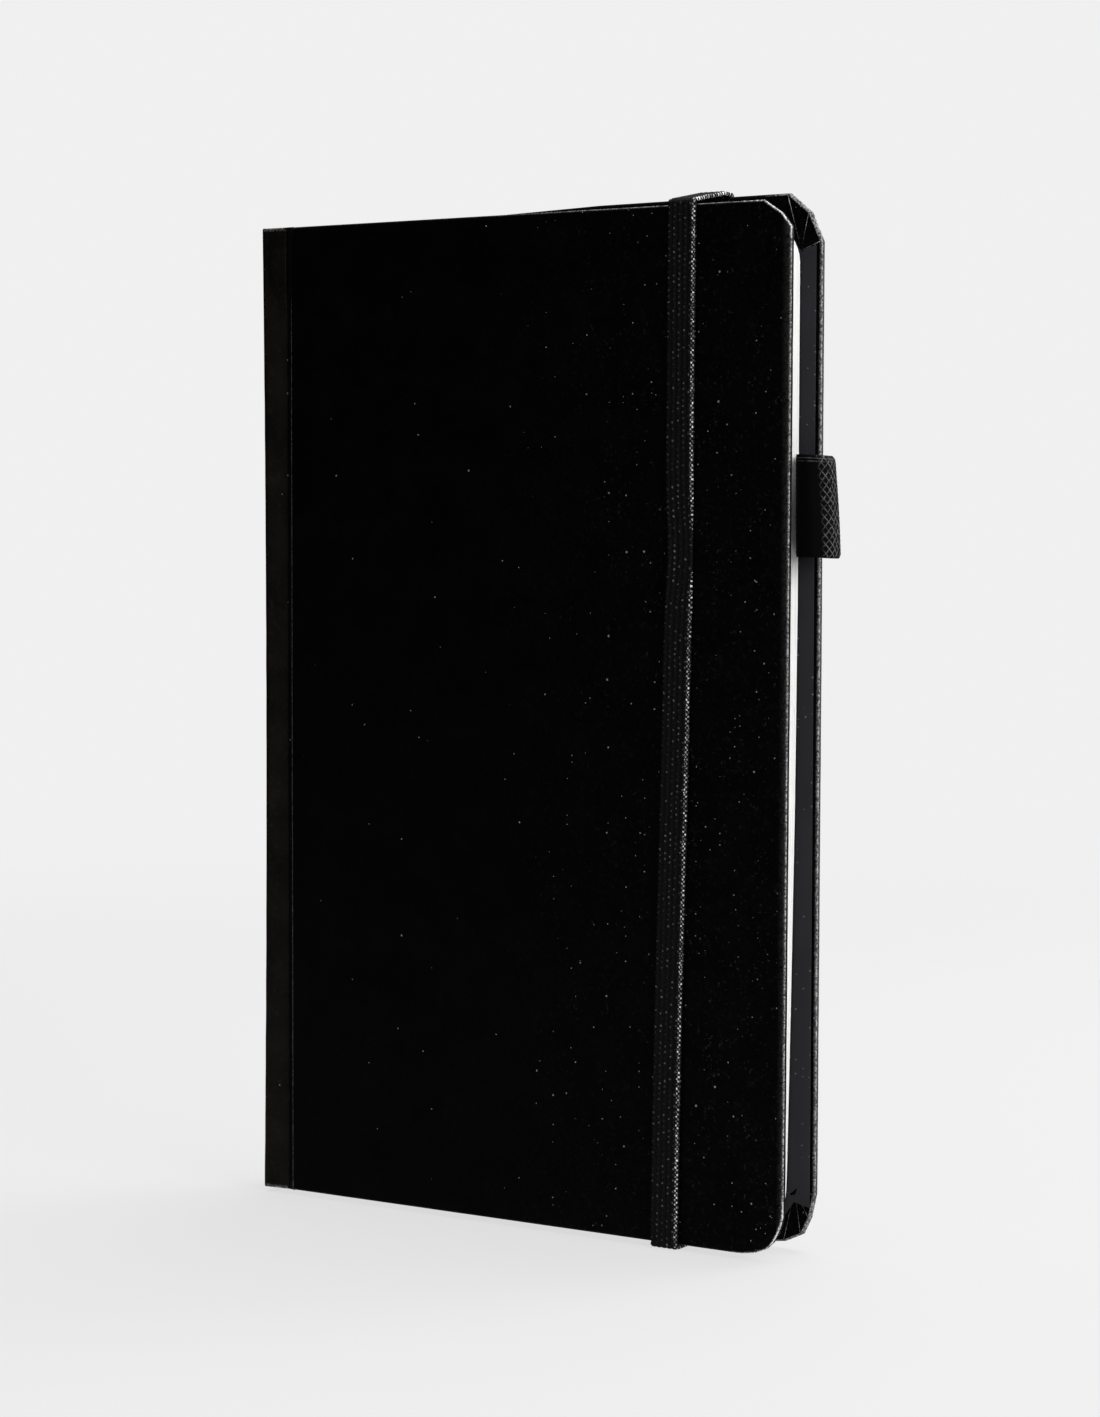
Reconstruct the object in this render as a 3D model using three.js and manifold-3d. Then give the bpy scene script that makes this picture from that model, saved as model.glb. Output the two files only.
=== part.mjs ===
// Hardcover sketchbook with an elastic closure band and a pen loop. Millimetres, standing upright:
// +X from the spine to the fore edge, +Y from the front cover to the back cover, +Z from tail to head.
// Until the last lines every coordinate is measured from the front cover's tail corner at the spine.
import * as THREE from "three";
import { mergeVertices } from "three/addons/utils/BufferGeometryUtils.js";
import Module from "manifold-3d";

const wasm = await Module();
wasm.setup();

// ---- driving dimensions ----
const COVER_WIDTH = 130.4; // spine face to fore edge, front cover
const BACK_WIDTH = 130.5;
const FRONT_HEIGHT = 210; // front cover, tail to head
const BACK_HEIGHT = 212.4; // the back cover stands a little taller, falling to the spine's height
const BOOK_THICKNESS = 14.5; // outside of the front cover to outside of the back cover

const SKIN = 0.25; // leatherette
const BOARD = 1.4; // grey board in each cover
const PASTEDOWN = 0.15; // endpaper glued to the board
const PASTEDOWN_MARGIN = 3.2; // turned-in leatherette left showing round it
const CLEAR = 0.02; // glue line, also the gap between loose sheets
const TURN_IN = 14; // leatherette folded over onto the inside of the board
const EDGE_ROUND = 0.7; // soft edge of a wrapped board
const COVER_START = 7.2; // spine-side edge of both cover boards

const SPINE_PROUD = 0.4; // spine face ahead of the cover's datum
const SPINE_SIDE = 6.0; // width of the spine's side strips, up to the groove
const SPINE_RIDGE = 0.2; // ridge of the side strip above the cover's face
const GROOVE_DEPTH = 0.9; // bottom of the groove below the cover's face
const SPINE_BOARD = 0.8;
const SPINE_BOARD_INSET = [0.85, 0.5]; // inside the book's thickness, inside its height

const BLOCK_START = 2.0; // folds of the sections
const BLOCK_TAIL = 3.4;
const BLOCK_HEAD = 206.4;
const BLOCK_CORNER = 8; // rounded page corners
const SECTIONS = 6;
const LEAF = 0.2; // one sheet of drawing paper
const LOOSE_LEAVES = 3; // leaves of the first section that turn on their own
const LINING = 0.3; // cloth glued over the folds
const LINING_MARGIN = 3; // short of the pages at head and tail

const BAND_WIDTH = 6.3;
const BAND_THICKNESS = 1.0;
const BAND_X_TAIL = 103.2; // middle of the band; it leans a little
const BAND_X_HEAD = 106.3;
const BAND_GAP = 0.1; // clear of the covers
const BAND_SLOT = 13; // slot in the back cover, from the cover's end
const BAND_TAB = 14; // glued end inside the board
const FITTED_GAP = 0.3; // round the band's ends and the pen loop's tab

const LOOP_TAIL = 139.8;
const LOOP_HEIGHT = 20.3;
const LOOP_THICKNESS = 0.8;
const LOOP_FLARE = 1.3; // the loop stands further out at its lower end

// corners of the covers, as steps in from the square corner: [inwards along X, along Z]
const FRONT_HEAD_CORNER = [[6.2, 0], [2.1, 2.7], [0, 5.4]];
const FRONT_TAIL_CORNER = [[9.9, 0], [4.3, 1.6], [1.7, 4.9], [0.5, 8.4]];
const BACK_HEAD_CORNER = [[7.5, 0], [2.6, 4.0], [0, 9.9]];
const BACK_TAIL_CORNER = [[11, 0], [6.9, 0.6], [2.9, 2.5], [1.1, 6.2], [0.1, 11.0]];
// the back cover's head edge, from the spine to its corner: [X, below BACK_HEIGHT]
const BACK_HEAD_FALL = [[78, 0.25], [COVER_START, 2.5]];
// the fore edge of the pages draws in towards the tail
const BLOCK_FORE_EDGE = [[124.4, 16], [125.05, 50], [125.65, 90], [125.95, 130]];

// ---- helpers ----
const solidOf = (geometry) => {
  const bare = geometry.clone();
  for (const name of ["normal", "uv"]) bare.deleteAttribute(name);
  const merged = mergeVertices(bare, 1e-4);
  return new wasm.Manifold(
    new wasm.Mesh({
      numProp: 3,
      vertProperties: merged.attributes.position.array,
      triVerts: new Uint32Array(merged.index.array),
    }),
  );
};

const geometryOf = (solid) => {
  const m = solid.getMesh();
  return new THREE.BufferGeometry()
    .setAttribute("position", new THREE.BufferAttribute(m.vertProperties, 3))
    .setIndex(new THREE.BufferAttribute(m.triVerts, 1));
};

// An [x, y] outline, with holes, raised from z0 to z1.
const prism = (outline, z0, z1, holes = []) => {
  const shape = new THREE.Shape(outline.map(([x, y]) => new THREE.Vector2(x, y)));
  for (const hole of holes)
    shape.holes.push(new THREE.Path(hole.map(([x, y]) => new THREE.Vector2(x, y))));
  return solidOf(
    new THREE.ExtrudeGeometry(shape, { depth: z1 - z0, bevelEnabled: false }).translate(0, 0, z0),
  );
};

// A closed solid through rings of [x, y, z] points. Each ring has the same number of points, is convex,
// and runs anticlockwise seen from the last ring's side.
const loft = (rings) => {
  const count = rings[0].length;
  const last = rings.length - 1;
  const at = (ring, i) => ring * count + (i % count);
  const index = [];
  for (let ring = 0; ring < last; ring++)
    for (let i = 0; i < count; i++) {
      index.push(at(ring, i), at(ring, i + 1), at(ring + 1, i + 1));
      index.push(at(ring, i), at(ring + 1, i + 1), at(ring + 1, i));
    }
  for (let i = 1; i < count - 1; i++) {
    index.push(at(0, 0), at(0, i + 1), at(0, i));
    index.push(at(last, 0), at(last, i), at(last, i + 1));
  }
  return solidOf(
    new THREE.BufferGeometry()
      .setAttribute("position", new THREE.Float32BufferAttribute(rings.flat(2), 3))
      .setIndex(index),
  );
};

const box = (x0, x1, y0, y1, z0, z1) =>
  loft([z0, z1].map((z) => [[x0, y0, z], [x1, y0, z], [x1, y1, z], [x0, y1, z]]));

// A convex outline in X and Z, anticlockwise seen from the front, moved inwards by d.
const inset = (outline, d) =>
  outline.map((p, i) => {
    const before = outline[(i + outline.length - 1) % outline.length];
    const after = outline[(i + 1) % outline.length];
    const line = (a, b) => {
      const [dx, dz] = [b[0] - a[0], b[1] - a[1]];
      const length = Math.hypot(dx, dz);
      const n = [-dz / length, dx / length];
      return [...n, n[0] * a[0] + n[1] * a[1] + d];
    };
    const [a1, b1, c1] = line(before, p);
    const [a2, b2, c2] = line(p, after);
    const det = a1 * b2 - a2 * b1;
    return [(c1 * b2 - c2 * b1) / det, (a1 * c2 - a2 * c1) / det];
  });

// A convex outline in X and Z made solid from y0 to y1, its edges rounded by r.
const slab = (outline, y0, y1, r = 0) => {
  const rows = r
    ? [[r, y0], [0.3 * r, y0 + 0.3 * r], [0, y0 + r], [0, y1 - r], [0.3 * r, y1 - 0.3 * r], [r, y1]]
    : [[0, y0], [0, y1]];
  return loft(rows.reverse().map(([d, y]) => inset(outline, d).map(([x, z]) => [x, y, z])));
};

// Cover outline: the two fore-edge corners cut to the given steps, the head edge falling to the spine.
const coverOutline = (width, height, tailCorner, headCorner, headFall = [[COVER_START, 0]]) => [
  [COVER_START, 0],
  ...tailCorner.map(([dx, dz]) => [width - dx, dz]),
  ...[...headCorner].reverse().map(([dx, dz]) => [width - dx, height - dz]),
  ...headFall.map(([x, dz]) => [x, height - dz]),
];

// Page outline from x = start: rounded corners at the fore edge.
const pageOutline = (start) => {
  const arc = (cx, cz, from) =>
    [0, 1, 2, 3, 4, 5].map((i) => {
      const a = ((from + 18 * i) * Math.PI) / 180;
      return [cx + BLOCK_CORNER * Math.cos(a), cz + BLOCK_CORNER * Math.sin(a)];
    });
  const tailX = BLOCK_FORE_EDGE[0][0] - 0.15 - BLOCK_CORNER;
  const headX = BLOCK_FORE_EDGE.at(-1)[0] - BLOCK_CORNER;
  return [
    [start, BLOCK_TAIL],
    ...arc(tailX, BLOCK_TAIL + BLOCK_CORNER, -90),
    ...BLOCK_FORE_EDGE,
    ...arc(headX, BLOCK_HEAD - BLOCK_CORNER, 0),
    [start, BLOCK_HEAD],
  ];
};

const book = new THREE.Group();
const putGeometry = (name, geometry, color, roughness) => {
  const mesh = new THREE.Mesh(geometry, new THREE.MeshStandardMaterial({ name, color, roughness }));
  mesh.name = name;
  book.add(mesh);
};
const put = (name, solid, color, roughness) => putGeometry(name, geometryOf(solid), color, roughness);

// The solid mirrored across the book's thickness, with its faces turned to point outwards again.
const putMirrored = (name, solid, color, roughness) => {
  const geometry = geometryOf(solid).scale(1, -1, 1).translate(0, BOOK_THICKNESS, 0);
  const corners = geometry.index.array;
  for (let i = 0; i < corners.length; i += 3)
    [corners[i], corners[i + 1]] = [corners[i + 1], corners[i]];
  putGeometry(name, geometry, color, roughness);
};

// ---- covers ----
// Both covers are drawn as a front cover; the back one is mirrored across the book's thickness.
const COVER_INSIDE = SKIN + BOARD + SKIN + PASTEDOWN + 3 * CLEAR;
const boardFace = SKIN + CLEAR + BOARD; // inner face of the board
const turnInFace = boardFace + CLEAR + SKIN;

const makeCover = (outline) => {
  const board = slab(inset(outline, SKIN + CLEAR), SKIN + CLEAR, boardFace, 0.3);
  const xs = outline.map((p) => p[0]);
  const height = Math.max(...outline.map((p) => p[1]));
  const window = box(
    COVER_START - 1, Math.max(...xs) - TURN_IN, boardFace, turnInFace + 1, TURN_IN, height - TURN_IN,
  );
  const skin = slab(outline, 0, turnInFace, EDGE_ROUND)
    .subtract(slab(inset(outline, SKIN), SKIN, boardFace + CLEAR, 0.3))
    .subtract(
      box(COVER_START - 1, COVER_START + SKIN + 0.1, SKIN, turnInFace + 1, TURN_IN, height - TURN_IN),
    )
    .subtract(window);
  const sheet = inset(outline, PASTEDOWN_MARGIN);
  const pastedown = slab(sheet, turnInFace + CLEAR, COVER_INSIDE).add(
    box(
      COVER_START + SKIN + 0.6, Math.max(...xs) - TURN_IN - 0.3,
      boardFace + CLEAR, turnInFace + 2 * CLEAR,
      TURN_IN + 0.3, height - TURN_IN - 0.3,
    ),
  );
  return { board, skin, pastedown };
};

const front = makeCover(
  coverOutline(COVER_WIDTH, FRONT_HEIGHT, FRONT_TAIL_CORNER, FRONT_HEAD_CORNER),
);
put("front_board", front.board, 0x8b8378, 0.9);
put("front_cover_skin", front.skin, 0x0b0b0c, 0.55);
put("front_pastedown", front.pastedown, 0x23252a, 0.85);

// The back cover also takes the band's two ends and the pen loop's tab, let into the board.
const bandX = (z) => BAND_X_TAIL + ((BAND_X_HEAD - BAND_X_TAIL) * z) / FRONT_HEIGHT;
const bandEnds = [
  { name: "elastic_tail_end", edge: 0, dir: 1, x: bandX(0) },
  { name: "elastic_head_end", edge: BACK_HEIGHT, dir: -1, x: bandX(BACK_HEIGHT) },
];
const endY = [boardFace - BAND_THICKNESS, boardFace]; // glued end, as drawn on a front cover
const span = (a, b) => [Math.min(a, b), Math.max(a, b)];
const bandEnd = ({ edge, dir, x }, grow) => {
  const slot = edge + dir * BAND_SLOT;
  const [x0, x1] = [x - BAND_WIDTH / 2 - grow, x + BAND_WIDTH / 2 + grow];
  const through = span(slot, slot + dir * BAND_THICKNESS);
  const inside = span(slot, slot + dir * BAND_TAB);
  const outside = span(edge - dir * BAND_GAP, slot + dir * BAND_THICKNESS);
  const parts = [
    box(x0, x1, grow ? -1 : -BAND_GAP - BAND_THICKNESS, endY[1], through[0] - grow, through[1] + grow),
    box(x0, x1, endY[0] - grow, endY[1] + (grow ? CLEAR : 0), inside[0] - grow, inside[1] + grow),
  ];
  if (!grow) parts.push(box(x0, x1, -BAND_GAP - BAND_THICKNESS, -BAND_GAP, ...outside));
  return parts.reduce((a, b) => a.add(b));
};

const TAB_START = 117;
const TAB_DEPTH = 1.1;
const tabHeight = [LOOP_TAIL - FITTED_GAP, LOOP_TAIL + LOOP_HEIGHT + FITTED_GAP];
const tabPocket = box(
  TAB_START - FITTED_GAP, COVER_WIDTH - 3.6, boardFace - TAB_DEPTH, turnInFace + CLEAR, ...tabHeight,
);
const tabMouth = box(
  COVER_WIDTH - 4.2, COVER_WIDTH - 1.6, boardFace - TAB_DEPTH, turnInFace + 1, ...tabHeight,
);

const back = makeCover(
  coverOutline(BACK_WIDTH, BACK_HEIGHT, BACK_TAIL_CORNER, BACK_HEAD_CORNER, BACK_HEAD_FALL),
);
const cuts = bandEnds.map((end) => bandEnd(end, FITTED_GAP)).concat(tabPocket, tabMouth);
const cutAll = (solid) => cuts.reduce((s, c) => s.subtract(c), solid);
putMirrored("back_board", cutAll(back.board), 0x8b8378, 0.9);
putMirrored("back_cover_skin", cutAll(back.skin), 0x0b0b0c, 0.55);
putMirrored("back_pastedown", back.pastedown.subtract(tabMouth), 0x23252a, 0.85);
for (const end of bandEnds) putMirrored(end.name, bandEnd(end, 0), 0x0e0e0f, 0.8);

// ---- spine ----
const spineSkin = (() => {
  const y0 = -SPINE_RIDGE, y1 = BOOK_THICKNESS + SPINE_RIDGE, g = GROOVE_DEPTH;
  const outer = [
    [-SPINE_PROUD, y0 + 0.7], [-SPINE_PROUD + 0.25, y0 + 0.2], [0.3, y0],
    [SPINE_SIDE, g], [SPINE_SIDE, g + SKIN], [0.6, y0 + SKIN + 0.1], [-SPINE_PROUD + SKIN, y0 + 0.8],
  ];
  const other = outer.map(([x, y]) => [x, y0 + y1 - y]).reverse();
  return prism([...outer, ...other].reverse(), 0, FRONT_HEIGHT);
})();
put("spine_skin", spineSkin, 0x0b0b0c, 0.5);
const spineBoardFace = -SPINE_PROUD + SKIN + CLEAR;
const [sideInset, endInset] = SPINE_BOARD_INSET;
put(
  "spine_board",
  box(
    spineBoardFace, spineBoardFace + SPINE_BOARD,
    sideInset, BOOK_THICKNESS - sideInset, endInset, FRONT_HEIGHT - endInset,
  ),
  0x8b8378, 0.9,
);

// Cloth of a groove, from the spine's side strip to the cover board.
const CLOTH_RISE = 0.35; // where it climbs to the board, and how far below the cover's face it ends
const grooveFloor = GROOVE_DEPTH + 0.1;
const jointCloth = prism(
  [
    [SPINE_SIDE + CLEAR, GROOVE_DEPTH], [COVER_START - CLOTH_RISE, grooveFloor],
    [COVER_START - CLEAR, CLOTH_RISE], [COVER_START - CLEAR, CLOTH_RISE + 2 * SKIN],
    [COVER_START - CLOTH_RISE, grooveFloor + SKIN], [SPINE_SIDE + CLEAR, GROOVE_DEPTH + SKIN],
  ],
  0.3, FRONT_HEIGHT - 0.3,
);
put("front_joint_cloth", jointCloth, 0x0b0b0c, 0.55);
putMirrored("back_joint_cloth", jointCloth, 0x0b0b0c, 0.55);

// ---- pages ----
const BLOCK_FRONT = COVER_INSIDE + 0.04;
const BLOCK_BACK = BOOK_THICKNESS - BLOCK_FRONT;
const PAGE_START = COVER_START + 0.1; // a page is free to turn from here
const page = (start, y0, y1) => slab(pageOutline(start), y0, y1);
const hingeStrip = (y0) => box(BLOCK_START, PAGE_START - 0.2, y0, y0 + LEAF, BLOCK_TAIL, BLOCK_HEAD);

put("front_flyleaf", page(PAGE_START, BLOCK_FRONT, BLOCK_FRONT + LEAF), 0x23252a, 0.85);
put("front_endpaper_hinge", hingeStrip(BLOCK_FRONT), 0x23252a, 0.85);
put("back_flyleaf", page(PAGE_START, BLOCK_BACK - LEAF, BLOCK_BACK), 0x23252a, 0.85);
put("back_endpaper_hinge", hingeStrip(BLOCK_BACK - LEAF), 0x23252a, 0.85);

const pagesFront = BLOCK_FRONT + LEAF + CLEAR;
const pagesBack = BLOCK_BACK - LEAF - CLEAR;
const pitch = (pagesBack - pagesFront + CLEAR) / SECTIONS;
for (let i = 0; i < SECTIONS; i++) {
  const y0 = pagesFront + i * pitch;
  const y1 = y0 + pitch - CLEAR;
  const fold = BLOCK_START + 0.5; // the folded edge is round up to here
  const halfFold = (y, side) => [
    [BLOCK_START, y + 0.45 * side], [BLOCK_START + 0.15, y + 0.15 * side], [fold, y], [fold + 0.1, y],
  ];
  const foldOutline = [...halfFold(y0, 1), ...halfFold(y1, -1).reverse()];
  let section = slab(pageOutline(fold), y0, y1).add(prism(foldOutline, BLOCK_TAIL, BLOCK_HEAD));
  if (i === 0) {
    const loose = LOOSE_LEAVES * (LEAF + CLEAR);
    section = section.subtract(box(PAGE_START - 0.1, 200, y0 - 1, y0 + loose, -10, 300));
    for (let n = 0; n < LOOSE_LEAVES; n++) {
      const top = y0 + n * (LEAF + CLEAR);
      put("leaf_" + (n + 1), page(PAGE_START, top, top + LEAF), 0xf4f3ee, 0.8);
    }
  }
  put("section_" + (i + 1), section, 0xf4f3ee, 0.8);
}

// Cloth lining glued round the folds, under the spine.
const liningSheet = (x1, y0, y1) =>
  box(BLOCK_START - CLEAR - LINING, x1, y0, y1, BLOCK_TAIL + LINING_MARGIN, BLOCK_HEAD - LINING_MARGIN);
const liningReach = PAGE_START - 1.2; // onto the first and last sections
put(
  "spine_lining",
  liningSheet(BLOCK_START - CLEAR, BLOCK_FRONT - 0.1, BLOCK_BACK + 0.1)
    .add(liningSheet(liningReach, BLOCK_FRONT - CLEAR - LINING, BLOCK_FRONT - CLEAR))
    .add(liningSheet(liningReach, BLOCK_BACK + CLEAR, BLOCK_BACK + CLEAR + LINING)),
  0xcfc9b8, 0.9,
);

// ---- closure band ----
// One long run down the front, and a short run across the head and the tail to the back.
const bandOuter = -BAND_GAP - BAND_THICKNESS;
const bandBack = BOOK_THICKNESS - bandOuter;
const half = BAND_WIDTH / 2;
const bandRun = (zLow, zHigh, y0, y1) => {
  const corner = (z, side) => [bandX(z) + side * half, z];
  return slab([corner(zLow, -1), corner(zLow, 1), corner(zHigh, 1), corner(zHigh, -1)], y0, y1);
};
// A [y, z] outline across the book's thickness, as wide as the band, with its middle at x.
const bandTurn = (outline, x) => {
  const shape = new THREE.Shape(outline.map(([y, z]) => new THREE.Vector2(y, z)));
  const extruded = new THREE.ExtrudeGeometry(shape, { depth: BAND_WIDTH, bevelEnabled: false });
  const stand = new THREE.Matrix4().set(0, 0, 1, x - half, 1, 0, 0, 0, 0, 1, 0, 0, 0, 0, 0, 1);
  return solidOf(extruded.applyMatrix4(stand));
};
const BAND_CREST = BOOK_THICKNESS - 3.1; // the head run is level from here to the back
const BAND_EDGE = 0.35; // cut-off corner of the webbing where it turns
const headTop = BACK_HEIGHT + BAND_GAP + BAND_THICKNESS;
const headRun = bandTurn(
  [
    [bandOuter, FRONT_HEIGHT + BAND_GAP], [0, FRONT_HEIGHT + BAND_GAP],
    [BAND_CREST, BACK_HEIGHT + BAND_GAP], [bandBack, BACK_HEIGHT + BAND_GAP + 0.02],
    [bandBack, BACK_HEIGHT + 0.6], [bandBack - BAND_EDGE, headTop], [BAND_CREST, headTop],
    [bandOuter + BAND_EDGE, FRONT_HEIGHT + BAND_GAP + BAND_THICKNESS], [bandOuter, FRONT_HEIGHT + 0.6],
  ],
  bandX(FRONT_HEIGHT),
);
const tailRun = bandTurn(
  [
    [bandOuter + BAND_EDGE, bandOuter], [bandBack - BAND_EDGE, bandOuter], [bandBack, -0.6],
    [bandBack, -BAND_GAP - 0.02], [bandOuter, -BAND_GAP - 0.02], [bandOuter, -0.6],
  ],
  bandX(0),
);
put(
  "elastic_band",
  bandRun(-BAND_GAP - 0.2, FRONT_HEIGHT + 0.5, bandOuter, -BAND_GAP).add(headRun).add(tailRun),
  0x0e0e0f, 0.8,
);

// ---- pen loop ----
// Webbing bent into a ring outside the fore edge; its doubled end is let into the back cover.
const loopInside = [
  [129.55, 11.0], [129.2, 8.8], [129.3, 6.6], [130.35, 5.2], [132.25, 4.8],
  [134.05, 5.4], [134.95, 7.1], [134.95, 9.2], [134.15, 10.8], [132.05, 11.15],
];
const loopMiddle = [132.05, 8.1];
const loopOutside = loopInside.map((p) => {
  const [dx, dy] = [p[0] - loopMiddle[0], p[1] - loopMiddle[1]];
  const grow = 1 + LOOP_THICKNESS / Math.hypot(dx, dy);
  return [loopMiddle[0] + dx * grow, loopMiddle[1] + dy * grow];
});
const tabY = [BOOK_THICKNESS - turnInFace - 0.05, BOOK_THICKNESS - boardFace + TAB_DEPTH - 0.15];
const tabOutline = [
  [TAB_START, tabY[0] + 0.1], [127.0, tabY[0] + 0.1], [127.9, 11.4], [128.7, 9.9], [129.15, 11.0],
  [130.2, 11.6], [128.6, 12.45], [128.4, tabY[1]], [TAB_START, tabY[1]],
];
const loopRange = [LOOP_TAIL, LOOP_TAIL + LOOP_HEIGHT];
const loop = prism(loopOutside, ...loopRange, [loopInside]).add(prism(tabOutline, ...loopRange));

// The ring leans out towards its lower end, from nothing at the cover to the whole flare at its far side.
const FLARE_START = 129, FLARE_REACH = 5;
const loopGeometry = geometryOf(loop);
const loopCorners = loopGeometry.attributes.position;
for (let i = 0; i < loopCorners.count; i++) {
  const x = loopCorners.getX(i);
  const out = THREE.MathUtils.clamp((x - FLARE_START) / FLARE_REACH, 0, 1);
  const below = (LOOP_TAIL + LOOP_HEIGHT - loopCorners.getZ(i)) / LOOP_HEIGHT;
  loopCorners.setX(i, x + LOOP_FLARE * out * below);
}
putGeometry("pen_loop", loopGeometry, 0x101012, 0.85);

// ---- place the book: middle of its box in X and Y, its lowest point on z = 0 ----
book.updateMatrixWorld(true);
const bounds = new THREE.Box3().setFromObject(book);
book.position.set(
  -(bounds.min.x + bounds.max.x) / 2,
  -(bounds.min.y + bounds.max.y) / 2,
  -bounds.min.z,
);

export default book;
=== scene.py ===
"""Hardcover sketchbook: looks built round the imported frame.

Sizes are millimetres measured from the front cover's tail corner at the spine: x to the fore edge,
y from the front cover to the back cover, z from tail to head. at() turns them into the row frame."""

import math
import random

import bmesh
import bpy
from mathutils import Matrix, Vector, noise


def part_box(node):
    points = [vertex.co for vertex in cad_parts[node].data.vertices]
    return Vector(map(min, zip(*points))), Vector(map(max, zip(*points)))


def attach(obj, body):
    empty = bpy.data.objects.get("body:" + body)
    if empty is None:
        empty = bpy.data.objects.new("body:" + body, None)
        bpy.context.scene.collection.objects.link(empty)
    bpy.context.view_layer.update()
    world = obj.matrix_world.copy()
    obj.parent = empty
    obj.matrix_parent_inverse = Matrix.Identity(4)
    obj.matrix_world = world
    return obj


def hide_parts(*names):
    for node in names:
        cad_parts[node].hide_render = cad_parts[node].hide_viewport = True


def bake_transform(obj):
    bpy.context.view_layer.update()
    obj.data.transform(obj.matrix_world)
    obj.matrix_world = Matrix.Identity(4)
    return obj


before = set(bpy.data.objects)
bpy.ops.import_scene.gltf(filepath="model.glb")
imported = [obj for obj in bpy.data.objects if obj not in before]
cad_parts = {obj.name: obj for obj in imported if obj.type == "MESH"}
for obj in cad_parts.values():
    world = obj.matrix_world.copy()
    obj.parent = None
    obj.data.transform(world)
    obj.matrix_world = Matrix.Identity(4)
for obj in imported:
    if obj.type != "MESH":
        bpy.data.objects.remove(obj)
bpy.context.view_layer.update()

# ---------------------------------------------------------------- datum
COVER_START = 7.2
cover_low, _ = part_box("front_cover_skin")
DATUM = Vector((cover_low[0] * 1000 - COVER_START, cover_low[1] * 1000, cover_low[2] * 1000))


def at(x, y, z):
    """Row-frame point in metres of a point given in the book's own millimetres."""
    return Vector(((DATUM.x + x) / 1000, (DATUM.y + y) / 1000, (DATUM.z + z) / 1000))


def book_point(co):
    """The book's own millimetres of a row-frame point in metres."""
    return co.x * 1000 - DATUM.x, co.y * 1000 - DATUM.y, co.z * 1000 - DATUM.z


COVER_WIDTH = 130.4
BACK_WIDTH = 130.5
FRONT_HEIGHT = 210.0
BACK_HEIGHT = 212.4
THICK = 14.5  # outside of one cover to outside of the other
COVER_INSIDE = 2.11  # inner face of the endpaper
TURN_IN_FACE = 1.94  # inner face of the turned-in leatherette
SKIN = 0.25
TURN_IN = 14.0
BLOCK_START = 2.0
BLOCK_TAIL = 3.4
BLOCK_HEAD = 206.4
LEAF_PITCH = 0.22  # a loose leaf and its gap
SHEET_GAP = 0.02
HINGE_OUTSIDE = 0.3  # the covers' hinge axes lie this far outside the book
LOOP_TAIL, LOOP_HEIGHT, LOOP_FLARE = 139.8, 20.3, 1.3

# corners of the covers, as steps in from the square corner: (inwards along x, along z)
FRONT_HEAD_CORNER = [(6.2, 0), (2.1, 2.7), (0, 5.4)]
FRONT_TAIL_CORNER = [(9.9, 0), (6.8, 0.55), (4.3, 1.6), (2.8, 3.0), (1.7, 4.9), (0.95, 6.7), (0.5, 8.4)]
BACK_HEAD_CORNER = [(7.5, 0), (2.6, 4.0), (0, 9.9)]
BACK_TAIL_CORNER = [(11.0, 0), (6.9, 0.6), (2.9, 2.5), (1.1, 6.2), (0.1, 11.0)]
BACK_HEAD_FALL = [(78, 0.25), (COVER_START, 2.5)]  # (x, below the back cover's height)

# ---------------------------------------------------------------- camera
CAMERA_PLACE = (440.71, -563.37, 147.10)
CAMERA_HEADING, CAMERA_DOWN, CAMERA_ROLL = 33.02, 3.316, 0.148  # degrees
LENS = 82.81

cam_data = bpy.data.cameras.new("camera")
cam_data.lens = LENS
cam_data.sensor_width = 36
cam_data.clip_start = 0.01
cam_data.clip_end = 50
camera = bpy.data.objects.new("camera", cam_data)
bpy.context.scene.collection.objects.link(camera)
camera.matrix_world = (
    Matrix.Translation(at(*CAMERA_PLACE))
    @ Matrix.Rotation(math.radians(CAMERA_HEADING), 4, "Z")
    @ Matrix.Rotation(math.radians(90 - CAMERA_DOWN), 4, "X")
    @ Matrix.Rotation(math.radians(CAMERA_ROLL), 4, "Z")
)
bpy.context.scene.camera = camera


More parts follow.
